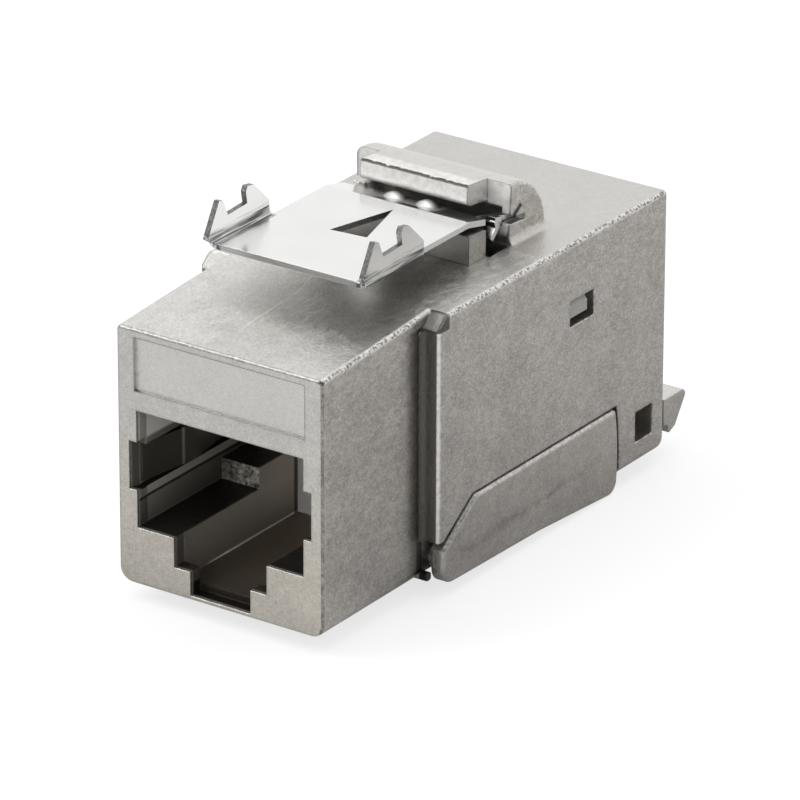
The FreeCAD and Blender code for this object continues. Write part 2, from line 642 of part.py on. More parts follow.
def make_rear_cap():
    """The cast cap that closes the rear, with the cable's hole and a ledge under the cable."""
    body = new_body("rear_cap")
    cap_half = size("cap_half")
    cap_front = size("door_rear_y") + 0.75
    ledge_top = size("ledge_top")
    tip = size("overall_length") + 0.077       # before the tip's edges are rounded
    base_profile = rectangle(cap_front, 0.1, body_rear, ledge_top)
    pad(body, "base", "YZ_Plane", [base_profile], cap_half * 2, symmetric=True)
    hollow = rectangle(cap_front + 0.9, 0, body_rear - 1.2, ledge_top - 1.0)
    pocket(body, "base_hollow", "YZ_Plane", [hollow], cap_half * 2 - 2.2, symmetric=True)
    wall = rectangle(-cap_half, ledge_top - 0.5, cap_half, size("cap_high"))
    pad(body, "wall", "XZ_Plane", [wall], size("cap_wall"),
        offset=body_rear - size("cap_wall"))
    ledge_profile = [
        (body_rear, ledge_top), (body_rear, 1.3), (body_rear + 0.45, 1.2),
        (body_rear + 0.6, 0.64), (body_rear + 1.25, 0.9), (tip, ledge_top - 0.35),
        (tip - 0.3, ledge_top)]
    pad(body, "ledge", "YZ_Plane", [ledge_profile], size("ledge_half") * 2, symmetric=True)
    dress(body, "Fillet", "ledge_corners", 0.3,
          [(0, tip, ledge_top - 0.35), (0, tip - 0.3, ledge_top)])
    lug = rectangle(size("rear_snap_front") + 0.1, size("rear_snap_low") + 0.1,
                    size("rear_snap_front") + 0.85, size("rear_snap_high") - 0.1)
    for side, name in ((1, "right"), (-1, "left")):
        pad(body, "lug_" + name, "YZ_Plane", [lug], 1.15, offset=side * (cap_half - 0.1),
            towards=side)
    pocket(body, "cable_hole", "XZ_Plane", [], 3.0, offset=body_rear - 1.5,
           circles=[(0, size("cable_z"), size("cable_radius"))])
    return body


def make_screen_clip():
    """A sprung steel bow round the cable's braid, standing on the rear cap's floor."""
    body = new_body("screen_clip")
    cable_z = size("cable_z")
    radius = size("cable_radius")
    floor_z = size("ledge_top")
    front = size("door_rear_y") + 1.3
    wide = 1.8
    pad(body, "bow", "XZ_Plane", [], wide, offset=front,
        circles=[(0, cable_z, radius + 0.6), (0, cable_z, radius + 0.3)])
    gap = rectangle(-radius - 1, 1.5, radius + 1, cable_z - 0.8)
    pocket(body, "opening", "XZ_Plane", [gap], wide + 1, offset=front - 0.5)
    for side, name in ((1, "right"), (-1, "left")):
        inner = side * (radius + 0.3)
        outer = side * (radius + 0.6)
        toe = side * (radius + 1.6)
        leg = [(inner, cable_z - 0.6), (inner, floor_z), (toe, floor_z), (toe, floor_z + 0.3),
               (outer, floor_z + 0.3), (outer, cable_z - 0.6)]
        pad(body, "leg_" + name, "XZ_Plane", [leg], wide, offset=front)
    return body


# ---------------------------------------------------------------- socket's inner parts

CONTACTS = range(1, 9)


def contact_x(number):
    """The eight contacts lie side by side, one pitch apart."""
    return size("pitch") * (number - 4.5)


def contact_root(number):
    """Their roots stand in the board in two staggered rows."""
    return size("odd_root_y") if number % 2 else size("even_root_y")


def make_jack_insert():
    """The plastic comb above the socket that keeps the contacts apart."""
    body = new_body("jack_insert")
    half = size("nose_chamber_half") - 0.08
    port_top = size("port_top")
    plate = rectangle(-half, 1.4, half, chamber_front - 0.1)
    pad(body, "plate", "XY_Plane", [plate], board_low - port_top - 0.02, offset=port_top + 0.02)
    comb = rectangle(-5.8, 11.0, 5.8, 12.2)
    pad(body, "comb", "XY_Plane", [comb], 2.6, offset=port_top + 0.1, towards=-1)
    slots = [rectangle(contact_x(number) - 0.31, 3.4, contact_x(number) + 0.31, 11.85)
             for number in CONTACTS]
    pocket(body, "contact_slots", "XY_Plane", slots, 6.0, offset=board_low + 1, towards=-1)
    return body


def make_contact(number):
    """A gold-plated spring wire: a pin up through the board, and a sprung arm below it."""
    body = new_body("plug_contact_%d" % number)
    root = contact_root(number)
    wide = size("contact_wide")
    profile = [
        (root - 0.2, board_high + 0.4), (root + 0.2, board_high + 0.4),
        (root + 0.2, board_low - 0.35), (10.3, 9.75), (11.5, 9.85), (11.5, 9.45),
        (10.2, 9.35), (root - 0.2, board_low - 0.7)]
    pad(body, "wire_%d" % number, "YZ_Plane", [profile], wide,
        offset=contact_x(number) - wide / 2)
    x = contact_x(number)
    dress(body, "Fillet", "bends_%d" % number, 0.3,
          [(x, root - 0.2, board_low - 0.7), (x, 10.2, 9.35)])
    return body


def make_shield_spring(side, name):
    """A bowed spring strip in the socket's side wall that touches the plug's shield."""
    body = new_body("shield_spring_" + name)
    back = size("ear_half") - 0.02
    front = side * back
    rest = side * (back - 0.18)
    crest_y = 5.2
    crest = side * (back - 0.6)
    bow = [(front, 1.1), (rest, 1.1), (side * (back - 0.78), crest_y), (rest, 9.3),
           (front, 9.3), (crest, crest_y)]
    low = size("ear_low") + 0.1
    pad(body, "strip_" + name, "XY_Plane", [bow], size("recess_top") - 0.12 - low, offset=low)
    return body


# ---------------------------------------------------------------- wire connection

IDC_ROWS = range(4)


def idc_y(row):
    return size("idc_first_y") + size("idc_pitch") * row


def make_circuit_board():
    """The board that joins the socket's contacts to the insulation-displacement blades."""
    body = new_body("circuit_board")
    half = size("board_half")
    outline_loop = rectangle(-half, size("board_front"), half, size("board_rear"))
    pad(body, "board", "XY_Plane", [outline_loop], size("board_thick"), offset=board_low)
    seats = [(contact_x(number), contact_root(number)) for number in CONTACTS]
    for side in (1, -1):
        seats += [(side * size("idc_x"), idc_y(row)) for row in IDC_ROWS]
    slots = [rectangle(x - 0.42, y - 0.42, x + 0.42, y + 0.42) for x, y in seats]
    pocket(body, "plated_slots", "XY_Plane", slots, 3.0, offset=board_high + 1, towards=-1)
    return body


def make_idc_block():
    """The plastic carrier of the eight blades, snapped into the body's side windows."""
    body = new_body("idc_block")
    half = size("chamber_half") - 0.12
    low = size("block_low")
    base = rectangle(-half, size("block_front"), half, size("block_rear"))
    pad(body, "block", "XY_Plane", [base], board_low - low, offset=low)
    snap_low = size("snap_low")
    snap_high = size("snap_high")
    for side, name in ((1, "right"), (-1, "left")):
        hook = [
            (side * (half - 0.6), snap_low), (side * half, snap_low),
            (side * half, snap_low + 0.5), (side * (body_half - 0.12), snap_low + 0.5),
            (side * (body_half - 0.12), snap_high - 0.5), (side * (body_half - 0.5),
                                                           snap_high - 0.06),
            (side * (half - 0.6), snap_high - 0.06)]
        pad(body, "snap_" + name, "XZ_Plane", [hook], 1.95, offset=size("snap_front") + 0.06)
    slots = []
    for side in (1, -1):
        x = side * size("idc_x")
        slots += [rectangle(x - 0.26, idc_y(row) - 1.16, x + 0.26, idc_y(row) + 1.16)
                  for row in IDC_ROWS]
    pocket(body, "blade_slots", "XY_Plane", slots, 8.0, offset=board_low + 1, towards=-1)
    aisle = rectangle(-2.1, size("block_front") + 1.2, 2.1, size("block_rear") + 1)
    pocket(body, "pair_aisle", "XY_Plane", [aisle], 1.9, offset=low - 0.1)
    return body


def make_blade(side, row, number):
    """A forked blade that cuts into a wire's insulation, with a pin up into the board."""
    body = new_body("idc_blade_%d" % number)
    middle = idc_y(row)
    thick = 0.4
    tip = size("block_low") - 3.4
    shoulder = board_low - 0.15
    right = [
        (0.25, board_high + 0.4), (0.25, shoulder), (1.1, shoulder), (1.1, tip + 0.4),
        (0.75, tip), (0.17, tip + 0.75), (0.17, tip + 3.2)]
    fork = ([(middle + y, z) for y, z in right]
            + [(middle - y, z) for y, z in reversed(right)])
    pad(body, "fork_%d" % number, "YZ_Plane", [fork], thick,
        offset=side * size("idc_x") - thick / 2)
    return body


def make_wire_manager():
    """The plastic holder that lays the eight wires under the blades. The door lifts it."""
    body = new_body("wire_manager")
    half = size("chamber_half") - 0.12
    low = size("manager_low")
    high = size("manager_high")
    front = size("block_front")
    rear = size("block_rear")
    base = rectangle(-half, front, half, rear)
    pad(body, "block", "XY_Plane", [base], high - low, offset=low)
    slots = []
    for side in (1, -1):
        x = side * size("idc_x")
        slots += [rectangle(x - 0.3, idc_y(row) - 1.25, x + 0.3, idc_y(row) + 1.25)
                  for row in IDC_ROWS]
    pocket(body, "blade_slots", "XY_Plane", slots, 4.6, offset=high + 1, towards=-1)
    grooves = [rectangle(idc_y(row) - 0.6, high - 1.7, idc_y(row) + 0.6, high + 1)
               for row in IDC_ROWS]
    pocket(body, "wire_grooves", "YZ_Plane", grooves, 15.0, symmetric=True)
    aisle = rectangle(-2.1, front + 1.0, 2.1, rear + 1)
    pocket(body, "pair_aisle", "XY_Plane", [aisle], 6.0, offset=high + 1, towards=-1)
    pocket(body, "cable_seat", "XZ_Plane", [], 4.0, offset=rear - 2.2,
           circles=[(0, size("cable_z"), size("cable_radius"))])
    return body


# ---------------------------------------------------------------- build, check and write

bodies = [make_housing(), make_latch(), make_press_door(), make_rear_cap(), make_screen_clip(),
          make_jack_insert(), make_circuit_board(), make_idc_block(), make_wire_manager()]
bodies += [make_contact(number) for number in CONTACTS]
bodies += [make_shield_spring(1, "right"), make_shield_spring(-1, "left")]
for place, side in enumerate((1, -1)):
    bodies += [make_blade(side, row, place * 4 + row + 1) for row in IDC_ROWS]

doc.recompute()
for item in doc.Objects:
    if "Invalid" in item.State or "Error" in item.State:
        sys.exit("%s did not build: %s" % (item.Label, item.State))

os.makedirs("parts", exist_ok=True)
for body in bodies:
    shape = body.Shape
    if shape.isNull() or not shape.isValid() or len(shape.Solids) != 1:
        sys.exit("%s is not one valid solid" % body.Label)
    shape.exportStep("parts/%s.step" % body.Label)
    print("%-20s %9.2f mm3" % (body.Label, shape.Volume))
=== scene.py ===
import math

import bpy
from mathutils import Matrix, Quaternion, Vector


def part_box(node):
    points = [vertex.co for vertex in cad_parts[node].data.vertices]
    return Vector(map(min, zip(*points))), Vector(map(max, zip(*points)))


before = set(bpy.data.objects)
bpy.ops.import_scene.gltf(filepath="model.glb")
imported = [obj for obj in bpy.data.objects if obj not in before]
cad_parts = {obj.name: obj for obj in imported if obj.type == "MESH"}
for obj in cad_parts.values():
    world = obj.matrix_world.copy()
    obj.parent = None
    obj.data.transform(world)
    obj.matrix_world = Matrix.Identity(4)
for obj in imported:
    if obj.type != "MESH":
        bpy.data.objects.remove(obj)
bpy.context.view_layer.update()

# This script adds finishes, a floor, lamps and a camera to the CAD pieces, and no piece of its own.
# Lengths in the finishes are in mm: heights from the nose's foot, depths from its front face.
MM = 0.001
PER_METRE = 1000.0
NOSE_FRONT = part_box("housing")[0][1] / MM     # the nose's front face
NOSE_FOOT = 1.073                             # the nose's underside stands this high
CLAW_FOOT = 19.75                             # above this the claws stand upright
SEAM = (19.58, 20.72)                         # the parting line along the lip's front edge
SPRING_CREST = 4.4                            # where a highlight is painted along the shield springs' crest
STOP_FRONT = 8.4                              # the rough front of the socket's inner stops
NOISE_LOW, NOISE_HIGH = 0.3, 0.7              # nearly all of a noise lies between these
BEVEL_SAMPLES = 6
CRINKLED = (1.0, 0.65, 1.0)                   # stretches a noise a little along the piece
DRAWN = (40.0, 1.0, 40.0)                     # stretches a noise into lines along the piece

# ---------------------------------------------------------------- colours
ZINC = (0.60, 0.59, 0.565)
LATCH_STEEL = (0.80, 0.80, 0.79)
SPRING_STEEL = (0.22, 0.21, 0.19)
GOLD = (0.85, 0.64, 0.28)
TIN = (0.70, 0.69, 0.65)
INSERT_PLASTIC = (0.035, 0.035, 0.035)
BLOCK_PLASTIC = (0.40, 0.39, 0.37)
MANAGER_PLASTIC = (0.72, 0.71, 0.68)
BOARD_GREEN = (0.03, 0.16, 0.07)

# inside the socket, all painted light and shade but the rough stop; a pair is the colour at the mouth
# and the colour deep inside
LEDGE_WALL = ((0.27, 0.25, 0.22), (0.10, 0.09, 0.072))
LEDGE_WALL_FOOT_SHADE = (0.06, 0.055, 0.05)
LEDGE_RAIL_LIGHT = (0.42, 0.405, 0.38)
LEDGE_GROOVE_SHADE = (0.04, 0.035, 0.03)
LEDGE_FLOOR_SHADE = (0.018, 0.016, 0.014)
CHANNEL_WALL = ((0.20, 0.183, 0.158), (0.62, 0.57, 0.50))
CHANNEL_WALL_FOOT_SHADE = (0.12, 0.108, 0.09)
CHANNEL_FLOOR = ((0.052, 0.044, 0.034), (0.21, 0.17, 0.13))
CHANNEL_CORNER_SHADE = (0.05, 0.045, 0.035)
UPPER_WALL_LIGHT = (0.95, 0.92, 0.86)
BACK_WALL_LIGHT = (0.98, 0.96, 0.93)
SHINE_LINE = (1.0, 0.97, 0.92)
MOUTH_FOOT_SHADE = (0.035, 0.03, 0.026)
MOUTH_RIM_SHADE = (0.012, 0.010, 0.008)
ROUGH_STOP = ((0.10, 0.09, 0.07), (0.80, 0.76, 0.67))    # its pits and its clumps

# outside; all but the flecks, the scratch, the label plate and the smear are painted light and shade
PAINTED_SIDE_TINT = (1.0, 0.965, 0.945)
PAINTED_FRONT_TINT = (1.0, 0.965, 0.90)
FLANGE_EDGE_HIGHLIGHT = (0.95, 0.94, 0.92)
BRIGHT_FLECK = (0.90, 0.89, 0.87)
DARK_FLECK = (0.10, 0.095, 0.085)
SCRATCH = (0.92, 0.91, 0.89)
BESIDE_NOSE_SHADE = (0.09, 0.085, 0.075)
NOOK_SHADE = (0.035, 0.03, 0.026)
FACET_SHADE = (0.07, 0.065, 0.055)
FAR_SIDE_SHADE = (0.20, 0.195, 0.18)
POST_SHADE = (0.13, 0.125, 0.115)
LIT_SEAT = ((0.70, 0.69, 0.67), (0.88, 0.87, 0.85))
LIP_FOOT_SHADE = (0.16, 0.155, 0.14)
LIP_END_SHADE = (0.08, 0.075, 0.065)
CREVICE_SHADE = (0.03, 0.028, 0.024)
LABEL_PLATE = (0.80, 0.79, 0.765)
LABEL_EDGE_SHADE = (0.14, 0.135, 0.12)
LABEL_FOOT_SHADE = (0.20, 0.195, 0.18)
TOP_BROW_SHADE = (0.22, 0.215, 0.20)
RIGHT_BROW_SHADE = (0.12, 0.115, 0.10)
SMEAR = (0.16, 0.15, 0.135)

# on the latch and the springs; all but the sheared and torn edges are painted light and shade
SHEARED_NOSE = (0.36, 0.355, 0.34)
CLAW_INSIDE_SHINE = (0.98, 0.98, 0.97)
TORN_EDGE = ((0.05, 0.05, 0.045), (0.24, 0.235, 0.22))
BEND_REFLECTION_LINE = (0.09, 0.09, 0.085)
LIP_SHADOW_COLOUR = (0.07, 0.065, 0.055)
DIMPLE_FLANK_SHADE = (0.22, 0.215, 0.205)
CREST_HIGHLIGHT = (0.75, 0.73, 0.68)


# ---------------------------------------------------------------- materials
class Nodes:
    """Shortens the making of a node tree."""

    def __init__(self, tree):
        self.tree = tree
        tree.nodes.clear()

    def add(self, kind, settings=None, **inputs):
        node = self.tree.nodes.new(kind)
        for key, value in (settings or {}).items():
            setattr(node, key, value)
        for key, value in inputs.items():
            self.set(node, key.replace("_", " "), value)
        return node

    def set(self, node, key, value):
        socket = node.inputs[int(key)] if key.isdigit() else node.inputs[key]
        if isinstance(value, bpy.types.NodeSocket):
            self.tree.links.new(value, socket)
        else:
            socket.default_value = value

    def math(self, operation, a, b=0.0, clamp=False):
        node = self.tree.nodes.new("ShaderNodeMath")
        node.operation = operation
        node.use_clamp = clamp
        self.set(node, "0", a)
        self.set(node, "1", b)
        return node.outputs[0]

    def plus(self, a, b):
        return self.math("ADD", a, b)

    def minus(self, a, b):
        return self.math("SUBTRACT", a, b)

    def most(self, a, b):
        return self.math("MAXIMUM", a, b)

    def absolute(self, value):
        return self.math("ABSOLUTE", value)

    def times(self, *shares):
        product = shares[0]
        for share in shares[1:]:
            product = self.math("MULTIPLY", product, share)
        return product

    def reach(self, a, b):
        """The length of the vector a, b."""
        return self.math("SQRT", self.plus(self.times(a, a), self.times(b, b)))

    def vector_math(self, operation, *vectors):
        node = self.add("ShaderNodeVectorMath", {"operation": operation})
        for index, vector in enumerate(vectors):
            self.tree.links.new(vector, node.inputs[index])
        return node

    def spread(self, value, low, high, to_low, to_high, smooth=False):
        """Maps value from low..high to to_low..to_high."""
        node = self.tree.nodes.new("ShaderNodeMapRange")
        node.interpolation_type = "SMOOTHSTEP" if smooth else "LINEAR"
        keys = ("Value", "From Min", "From Max", "To Min", "To Max")
        for key, number in zip(keys, (value, low, high, to_low, to_high)):
            self.set(node, key, number)
        return node.outputs[0]

    def rise(self, value, low, high):
        """0 at low and before it, 1 at high and past it."""
        return self.spread(value, low, high, 0.0, 1.0)

    def fall(self, value, low, high):
        """1 at low and before it, 0 at high and past it."""
        return self.spread(value, low, high, 1.0, 0.0)

    def band(self, value, middle, half, soft):
        """1 where value is within half of middle, falling to 0 over soft."""
        return self.fall(self.absolute(self.minus(value, middle)), half, half + soft)

    def vary(self, noise, to_low, to_high):
        """Maps the usual range of a noise to to_low..to_high."""
        return self.spread(noise, NOISE_LOW, NOISE_HIGH, to_low, to_high)

    def blend(self, share, a, b, how="MIX"):
        """Mixes two colours."""
        node = self.tree.nodes.new("ShaderNodeMix")
        node.data_type = "RGBA"
        node.blend_type = how
        for socket, value in ((node.inputs[0], share), (node.inputs[6], a), (node.inputs[7], b)):
            if isinstance(value, bpy.types.NodeSocket):
                self.tree.links.new(value, socket)
            elif isinstance(value, (int, float)):
                socket.default_value = value
            else:
                socket.default_value = (*value, 1.0)
        return node.outputs[2]

    def tinge(self, share, colour, filter_colour):
        """Colours by a filter where share is 1."""
        return self.blend(share, colour, self.blend(1.0, colour, filter_colour, "MULTIPLY"))

    def shaded(self, share, tint, darkest, lightest):
        """The tint times darkest where share is 0, and times lightest where it is 1."""
        dark = tuple(channel * darkest for channel in tint)
        light = tuple(min(channel * lightest, 1.0) for channel in tint)
        return self.blend(share, dark, light)

    def noise(self, place, grain, detail=2.0, rough=0.5, stretch=None):
        """Noise whose features are about grain millimetres across."""
        if stretch:
            place = self.add("ShaderNodeMapping", Vector=place, Scale=stretch).outputs[0]
        node = self.add(
            "ShaderNodeTexNoise", Vector=place, Scale=1 / (grain * MM), Detail=detail, Roughness=rough)
        return node.outputs[0]

    def bump(self, shader, height, strength, depth, **inputs):
        """Gives the shader a relief depth millimetres deep."""
        distance = depth * MM
        node = self.add(
            "ShaderNodeBump", Strength=strength, Distance=distance, Height=height, **inputs)
        self.set(shader, "Normal", node.outputs[0])


def surface(name):
    """A new material with one principled shader, and its place on the piece."""
    made = bpy.data.materials.new(name)
    made.use_nodes = True
    nodes = Nodes(made.node_tree)
    out = nodes.add("ShaderNodeOutputMaterial")
    shader = nodes.add("ShaderNodeBsdfPrincipled")
    nodes.tree.links.new(shader.outputs[0], out.inputs[0])
    place = nodes.add("ShaderNodeTexCoord").outputs["Object"]
    return made, nodes, shader, place


class Spot:
    """Where a point of a piece lies and which way it faces, and the shares that follow from that.

    x is across, y is the depth behind the nose's front, z is the height above its foot, and side is
    x without its sign. right, back and up are the parts of the surface's direction, and sideways is
    right without its sign.
    """

    def __init__(self, nodes, place, rounding):
        self.nodes = nodes
        self.place = place
        metres = nodes.add("ShaderNodeSeparateXYZ", Vector=place).outputs
        across, depth, height = (nodes.times(metres[axis], PER_METRE) for axis in "XYZ")
        flat_normal = nodes.add("ShaderNodeNewGeometry").outputs["Normal"]
        facing = nodes.add("ShaderNodeSeparateXYZ", Vector=flat_normal).outputs
        self.fields = {
            "x": across, "side": nodes.absolute(across),
            "y": nodes.minus(depth, NOSE_FRONT), "z": nodes.minus(height, NOSE_FOOT),
            "right": facing["X"], "back": facing["Y"], "up": facing["Z"],
            "sideways": nodes.absolute(facing["X"]),
        }
        bevel = nodes.add("ShaderNodeBevel", {"samples": BEVEL_SAMPLES}, Radius=rounding * MM)
        self.round_normal = bevel.outputs[0]
        likeness = nodes.vector_math("DOT_PRODUCT", self.round_normal, flat_normal).outputs["Value"]
        self.edge = nodes.fall(likeness, 0.86, 0.985)
        lean = nodes.add("ShaderNodeSeparateXYZ", Vector=self.round_normal).outputs["X"]
        self.side_edge = nodes.times(self.edge, nodes.rise(nodes.absolute(lean), 0.25, 0.45))

    def where(self, *shares, **limits):
        """The product of the shares and of the limits.

        z_past=(1, 2) is 0 up to z = 1 and grows to 1 at z = 2; z_until=(1, 2) falls from 1 to 0
        there. Before the underscore stands one of the fields.
        """
        ramps = {"past": self.nodes.rise, "until": self.nodes.fall}
        factors = list(shares)
        for limit, (low, high) in limits.items():
            field, kind = limit.split("_")
            factors.append(ramps[kind](self.fields[field], low, high))
        return self.nodes.times(*factors)

    def band(self, field, middle, half, soft):
        """1 where the field is within half of middle, falling to 0 over soft."""
        return self.nodes.band(self.fields[field], middle, half, soft)

    def ramp(self, field, low, high, to_low, to_high, smooth=False):
        """Maps the field from low..high to to_low..to_high."""
        return self.nodes.spread(self.fields[field], low, high, to_low, to_high, smooth)


class Coat:
    """A colour that patches of other colours are laid over."""

    def __init__(self, nodes, colour):
        self.nodes = nodes
        self.colour = colour

    def lay(self, colour, *shares, strength=1.0):
        """Lays a colour over the coat, as strongly as the product of the shares and strength."""
        if strength != 1.0:
            shares += (strength,)
        self.colour = self.nodes.blend(self.nodes.times(*shares), self.colour, colour)


class Grain:
    """The leathery grain of plated zinc, from fine to wide."""

    def __init__(self, nodes, place):
        self.fine = nodes.noise(place, 0.13, detail=3.0, rough=0.65, stretch=CRINKLED)
        self.middle = nodes.noise(place, 0.42, detail=3.0, rough=0.6, stretch=CRINKLED)
        self.wide = nodes.noise(place, 2.6)


def plated_colour(nodes, spot, grain, tint, side_contrast):
    """The tint with the grain in it: painted light makes it stronger and warmer on faces that look
    sideways.
    """
    shade = nodes.plus(nodes.vary(grain.fine, -0.34, 0.34), nodes.vary(grain.middle, -0.18, 0.18))
    shade = nodes.plus(shade, nodes.vary(grain.wide, -0.12, 0.12))
    shade = nodes.times(shade, spot.ramp("sideways", 0.5, 0.9, 0.85, side_contrast))
    colour = nodes.shaded(nodes.math("ADD", shade, 0.5, clamp=True), tint, 0.74, 1.26)
    # painted light: a warm tint on faces that look sideways
    return nodes.tinge(spot.where(sideways_past=(0.5, 0.9)), colour, PAINTED_SIDE_TINT)


def inside_socket(spot):
    """1 inside the socket's mouth, 0 on the housing's outside."""
    return spot.where(
        y_past=(0.12, 0.30), y_until=(13.0, 14.0), side_until=(6.6, 6.9), z_until=(11.2, 11.5),
        z_past=(0.1, 0.25))


def socket_walls(nodes, spot, channel, deep):
    """The wall above the side ledges, and the wall of the channel between them, in painted light and
    shade.
    """
    rail_side = spot.where(side_past=(5.8, 5.85))
    # the ledge wall is painted darker deeper in, the channel wall lighter
    ledge = Coat(nodes, nodes.blend(deep, *LEDGE_WALL))
    # painted shade at the ledge wall's foot, a painted lit band on its rail, painted shade in the
    # groove under it
    ledge.lay(LEDGE_WALL_FOOT_SHADE, spot.ramp("z", 3.9, 5.3, 0.55, 0.0))
    ledge.lay(LEDGE_RAIL_LIGHT, spot.band("z", 5.66, 0.22, 0.06), rail_side)
    ledge.lay(LEDGE_GROOVE_SHADE, spot.band("z", 5.30, 0.06, 0.05), rail_side)
    middle = Coat(nodes, nodes.blend(deep, *CHANNEL_WALL))
    low = spot.where(spot.ramp("z", 3.4, 0.9, 0.0, 0.55), y_until=(12.0, 12.2))
    # painted shade at the channel wall's foot
    middle.lay(CHANNEL_WALL_FOOT_SHADE, low)
    walls = Coat(nodes, nodes.blend(channel, ledge.colour, middle.colour))
    # painted light high up on the walls
    walls.lay(UPPER_WALL_LIGHT, spot.where(z_past=(8.9, 9.1)))
    return walls.colour


def socket_colour(nodes, spot, front, upward):
    """The thin matt plating inside the socket, with painted light and shade where the light reaches it
    unevenly.
    """
    channel = spot.where(side_until=(3.3, 3.4))
    deep = spot.where(y_past=(1.0, 10.5))
    wall = socket_walls(nodes, spot, channel, deep)
    # painted shade on the floors: darkest under the ledges, the channel's floor lighter deeper in
    floor = nodes.blend(channel, LEDGE_FLOOR_SHADE, nodes.blend(deep, *CHANNEL_FLOOR))
    matt = Coat(nodes, nodes.blend(upward, wall, floor))
    shine_line = spot.where(spot.band("z", 0.82, 0.05, 0.05), channel, y_past=(3.0, 5.0))
    # a painted highlight along the foot of the channel's walls
    matt.lay(SHINE_LINE, shine_line, nodes.minus(1.0, upward))
    # painted shade at the mouth's foot, along its rim and in the channel's far corner
    matt.lay(MOUTH_FOOT_SHADE, spot.where(front, z_until=(1.0, 1.1)))
    rim = spot.where(y_until=(0.95, 1.05), y_past=(0.25, 0.4))
    matt.lay(MOUTH_RIM_SHADE, rim, spot.ramp("z", 1.0, 1.1, 1.0, 0.55))
    far_corner = spot.where(channel, spot.band("y", 12.1, 0.12, 0.12), sideways_past=(0.6, 0.9))
    matt.lay(CHANNEL_CORNER_SHADE, far_corner, strength=0.85)
    clump = nodes.rise(nodes.noise(spot.place, 0.30, rough=0.6), 0.36, 0.66)
    clump = nodes.times(clump, spot.ramp("side", 5.6, 4.3, 0.35, 1.0))
    matt.lay(nodes.blend(clump, *ROUGH_STOP), front, spot.band("y", STOP_FRONT, 0.1, 0.1))
    # painted light on the back wall
    matt.lay(BACK_WALL_LIGHT, spot.where(front, y_past=(12.0, 12.2)))
    return matt.colour


def lay_flange(nodes, spot, grain, coat):
    """The flange behind the nose: painted shade beside the nose, in its corners and on its facets, and
    a painted highlight along its front edge.
    """
    # painted shade in the corner beside the nose, in the crevice at its root and on the flange's flat
    # front
    corner = spot.where(
        z_until=(15.9, 16.1), side_past=(7.12, 7.2), y_until=(9.9, 9.96), side_until=(8.28, 8.36))
    coat.lay(BESIDE_NOSE_SHADE, corner, spot.ramp("y", 8.0, 9.4, 0.0, 0.72, smooth=True))
    root = spot.where(corner, y_past=(9.35, 9.45), side_until=(7.6, 7.75))
    coat.lay(CREVICE_SHADE, root, strength=0.62)
    flat = spot.where(corner, y_past=(9.80, 9.84), side_past=(7.6, 7.75))
    coat.lay(FACET_SHADE, flat, strength=0.28)
    # painted shade on the facet at the top, mottled by the grain and darker at its edges, and on the
    # far side's
    facet = spot.where(
        z_past=(15.85, 15.9), x_past=(7.2, 7.25), y_until=(10.88, 10.93), y_past=(9.78, 9.83))
    facet_edge = nodes.most(spot.edge, spot.where(side_past=(8.18, 8.24)))
    facet_edge = nodes.most(facet_edge, spot.where(y_past=(10.76, 10.82)))
    pitted = nodes.spread(grain.fine, 0.35, 0.65, 0.25, 0.50)
    coat.lay(FACET_SHADE, facet, nodes.plus(pitted, nodes.times(facet_edge, 0.45)))
    far_side = spot.where(
        x_until=(-7.25, -7.2), z_past=(15.6, 15.7), y_until=(10.8, 10.9), y_past=(9.6, 9.7))
    coat.lay(FAR_SIDE_SHADE, far_side, strength=0.75)
    # painted shade in the nook at the bottom
    nook = spot.where(
        spot.ramp("y", 9.2, 9.8, 0.0, 1.0, smooth=True),
        z_until=(1.6, 2.1), side_past=(7.05, 7.15), y_until=(12.5, 12.6))
    coat.lay(NOOK_SHADE, nook, strength=0.82)
    # a painted highlight along the rounded front edge, broken up by the grain
    highlit_edge = spot.where(
        side_past=(8.26, 8.32), y_until=(10.0, 10.12), z_past=(2.4, 2.6), z_until=(15.8, 15.9))
    coat.lay(FLANGE_EDGE_HIGHLIGHT, highlit_edge, nodes.spread(grain.middle, 0.3, 0.6, 0.30, 0.75))


